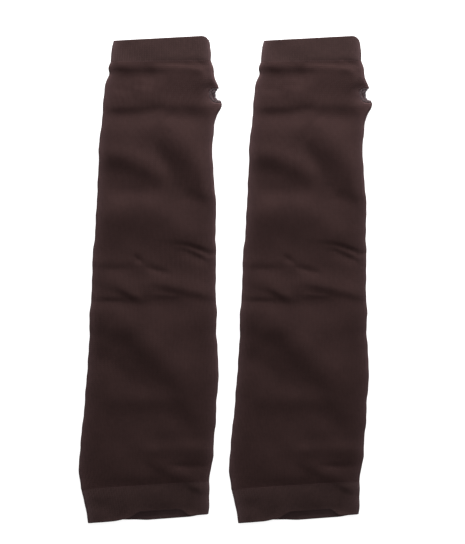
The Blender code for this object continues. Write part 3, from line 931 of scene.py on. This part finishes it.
def welt_mesh(part, yarn):
    """A rib welt folded double: its outside, its turned edge and its inside, closed at the seam.
    Gives its mesh and its size unfolded once, which is its girth and its height."""
    wall = yarn.welt_cloth / MM
    depth = yarn.rib_depth / MM
    tube = read_tube(part, WELT_ROW, wall)
    open_end = OPEN_END[part]
    middle = len(tube.left) // 2
    straight = tube.right[middle] - tube.left[middle] - 2 * FOLD_RADIUS
    arc = math.pi * (FOLD_RADIUS + tube.half_left[middle]) / 2
    ribs = round(straight * MM / yarn.rib_pitch)
    side_ribs = round(arc * MM / yarn.rib_pitch)
    plan = column_plan(ribs * RIB_COLUMNS, side_ribs * RIB_COLUMNS, ribs * RIB_COLUMNS)
    across = np.arange(len(plan[0]) + 1) / RIB_COLUMNS
    rib = np.abs(np.sin(math.pi * across[:-1])) ** RIB_POWER
    to_hand = (tube.y_left - tube.y_left[0]) / (tube.y_left[-1] - tube.y_left[0])
    to_open = to_hand if open_end > 0 else 1 - to_hand
    mouth = MOUTH[part] * to_open[:, None] ** MOUTH_POWER
    length = (np.ptp(tube.y_left) + np.ptp(tube.y_right)) / 2
    corner = np.maximum(1 - (1 - to_open[:, None]) * length / CORNER_REACH, 0) ** 2
    radius = CORNER_RADIUS[part]
    drop = seam_drop(tube, (-open_end,))
    outer = tube_points(tube, plan, drop + depth * (1 - rib), mouth, corner, radius)
    under = tube.wall[:, None] - depth * INNER_RIB * rib
    inner = tube_points(tube, plan, under, mouth, corner, radius)
    # painted sheen by the folded sides
    painted_light = side_painted_sheen(tube, outer)
    if open_end < 0:
        outer, inner, painted_light = outer[::-1], inner[::-1], painted_light[::-1]
    turned = []
    bulge = open_end * tube.wall[-1 if open_end > 0 else 0] / 2
    for step in range(1, TURN_ROWS):
        angle = math.pi * step / TURN_ROWS
        ring = outer[-1] + (inner[-1] - outer[-1]) * (1 - math.cos(angle)) / 2
        ring[:, 1] += bulge * math.sin(angle) * (1 - TURN_RIB + TURN_RIB * rib)
        turned.append(ring)
    rings = np.concatenate([outer, np.array(turned), inner[::-1]])
    # painted light on the turned edge, and inside the welt where its mouth is shaded
    turned_painted_light = np.full((len(turned), len(rib)), TURN_PAINTED_LIGHT[part])
    painted_light = np.concatenate([painted_light, turned_painted_light, np.maximum(painted_light[::-1], INSIDE_PAINTED_LIGHT)])
    column = rings[:, len(rib) // 8]  # well inside the upper layer
    steps = np.linalg.norm(np.diff(column, axis=0), axis=1)
    along = np.append(0, np.cumsum(steps)) * MM / yarn.course
    if open_end < 0:
        rings, along, painted_light = rings[::-1], along[::-1], painted_light[::-1]
    mesh = grid_mesh(part, rings, across, along, painted_light, looped=True)
    return mesh, (2 * (straight + arc) * MM, (length + wall / 2) * MM)


def linking_mesh(part, yarn):
    """The row of chain stitches that links a welt to the sleeve, sunk between their rounded ends."""
    plan = column_plan(TOP_COLUMNS, SIDE_COLUMNS, TOP_COLUMNS)
    at_hand = OPEN_END[part] > 0
    sleeve = read_tube("body", BODY_ROW, yarn.cloth / MM)
    welt = read_tube(part, WELT_ROW, yarn.welt_cloth / MM)
    sleeve_end = tube_points(rows_of(sleeve, [-1 if at_hand else 0]), plan, LINK_SINK)[0]
    welt_end = tube_points(rows_of(welt, [0 if at_hand else -1]), plan, LINK_SINK)[0]
    seam = (sleeve_end + welt_end) / 2
    seam = np.concatenate([seam, seam[:1]])
    lengths = np.append(0, np.cumsum(np.linalg.norm(np.diff(seam, axis=0), axis=1)))
    stitches = round(lengths[-1] / LINK_PITCH)
    count = np.arange(stitches * LINK_STEPS) / LINK_STEPS
    at = count / stitches * lengths[-1]
    middle = np.stack([np.interp(at, lengths, seam[:, axis]) for axis in range(3)], -1)
    thread = np.concatenate([middle, middle])
    hand = np.repeat((-1, 1), len(middle))
    loop = LINK_WAIST + (1 - LINK_WAIST) * np.abs(np.sin(math.pi * np.append(count, count)))
    thread[:, 1] += hand * LINK_HALF * loop
    thread[:, 2] = np.maximum(thread[:, 2], LINK_RADIUS)
    around = np.arange(THREAD_SIDES + 1) / THREAD_SIDES
    rings = sweep(thread, LINK_RADIUS, LINK_RADIUS, (0, 1, 0))
    along = 2 * np.append(count, stitches + count)
    # the thread carries painted light
    return grid_mesh(part, rings, around, along, LINK_PAINTED_LIGHT, looped=True)


class ARMWARMERS_OT_welts(bpy.types.Operator):
    """Knits the rib welts at the hand ends and at the arm ends, and links them to the sleeves"""

    bl_idname = "armwarmers.welts"
    bl_label = "Knit Welts"

    def execute(self, context):
        yarn = context.scene.arm_warmer_yarn
        # Spun acrylic knitted as a fine rib and folded double: low upright ribs, a little paler.
        rib = yarn_material(
            "acrylic_rib_knit", yarn.welt_colour, knit_face, depth=0.2, shade=0.2
        )
        # The same yarn, chained through both edges on a linking machine: a thin sunken braid.
        thread = yarn_material(
            "acrylic_linking", yarn.body_colour, thread_twist, depth=0.08, shade=0.3
        )
        for part in OPEN_END:
            name = part.replace("cuff", "welt")
            link = linking_mesh(part, yarn)
            links = show_pair(name.replace("welt", "linking"), link, [thread])
            mesh, flat = welt_mesh(part, yarn)
            welts = show_pair(name, mesh, [rib], part)
        return {"FINISHED"}


class ARMWARMERS_OT_studio(bpy.types.Operator):
    """Sets the table, the lamp and the camera"""

    bl_idname = "armwarmers.studio"
    bl_label = "Set Studio"

    def execute(self, context):
        scene = context.scene
        studio = scene.arm_warmer_studio
        table = bpy.data.meshes.new("table")
        near, far = -TABLE_REACH, TABLE_REACH
        corners = [(near, near, 0), (far, near, 0), (far, far, 0), (near, far, 0)]
        table.from_pydata(corners, [], [(0, 1, 2, 3)])
        # Cast white acrylic sheet, lit from below as under goods in a shop: an even white that
        # keeps hardly a shadow.
        sheet = bpy.data.materials.new("lit_white_acrylic")
        sheet.use_nodes = True
        shader = sheet.node_tree.nodes["Principled BSDF"]
        shader.inputs["Base Color"].default_value = (*studio.table_colour, 1)
        shader.inputs["Roughness"].default_value = TABLE_ROUGHNESS
        shader.inputs["Emission Color"].default_value = (1, 1, 1, 1)
        shader.inputs["Emission Strength"].default_value = TABLE_GLOW
        table.materials.append(sheet)
        top = bpy.data.objects.new("table", table)
        top.location.z = -TABLE_DROP
        scene.collection.objects.link(top)

        lamp = bpy.data.lights.new("window", "AREA")
        lamp.shape = "RECTANGLE"
        lamp.size, lamp.size_y = LAMP_SIZE
        lamp.energy = studio.lamp_power
        window = bpy.data.objects.new("window", lamp)
        window.location = LAMP_PLACE
        back = window.location - Vector(LAMP_TARGET)
        window.rotation_euler = back.to_track_quat("Z", "Y").to_euler()
        window.visible_camera = False
        scene.collection.objects.link(window)

        world = bpy.data.worlds.new("room")
        world.use_nodes = True
        light = world.node_tree.nodes["Background"].inputs
        light["Color"].default_value = (1, 1, 1, 1)
        light["Strength"].default_value = studio.fill
        scene.world = world
        scene.view_settings.view_transform = "Standard"

        camera = bpy.data.cameras.new("camera")
        camera.sensor_fit = "VERTICAL"
        camera.sensor_height = SENSOR
        camera.lens = camera.sensor_height * studio.camera_height / studio.view_height
        eye = bpy.data.objects.new("camera", camera)
        eye.location = (*CAMERA_PLACE, studio.camera_height)
        scene.collection.objects.link(eye)
        scene.camera = eye
        return {"FINISHED"}


class ARMWARMERS_PT_sidebar(bpy.types.Panel):
    """Lists the steps that make the pair"""

    bl_idname = "ARMWARMERS_PT_sidebar"
    bl_label = "Arm Warmers"
    bl_space_type = "VIEW_3D"
    bl_region_type = "UI"
    bl_category = "Arm Warmers"

    def draw(self, context):
        for settings in (context.scene.arm_warmer_yarn, context.scene.arm_warmer_studio):
            for name in settings.bl_rna.properties.keys():
                if name not in ("rna_type", "name"):
                    self.layout.prop(settings, name)
        for step in STEPS:
            self.layout.operator(step.bl_idname)


STEPS = (
    ARMWARMERS_OT_thumb_edges,
    ARMWARMERS_OT_sleeves,
    ARMWARMERS_OT_welts,
    ARMWARMERS_OT_studio,
)
CLASSES = (YarnSettings, StudioSettings, *STEPS, ARMWARMERS_PT_sidebar)


def register():
    for cls in CLASSES:
        bpy.utils.register_class(cls)
    bpy.types.Scene.arm_warmer_yarn = bpy.props.PointerProperty(type=YarnSettings)
    bpy.types.Scene.arm_warmer_studio = bpy.props.PointerProperty(type=StudioSettings)


def unregister():
    del bpy.types.Scene.arm_warmer_studio
    del bpy.types.Scene.arm_warmer_yarn
    for cls in reversed(CLASSES):
        bpy.utils.unregister_class(cls)


def main():
    register()
    bpy.ops.armwarmers.thumb_edges()
    bpy.ops.armwarmers.sleeves()
    bpy.ops.armwarmers.welts()
    bpy.ops.armwarmers.studio()


if __name__ == "__main__":
    main()
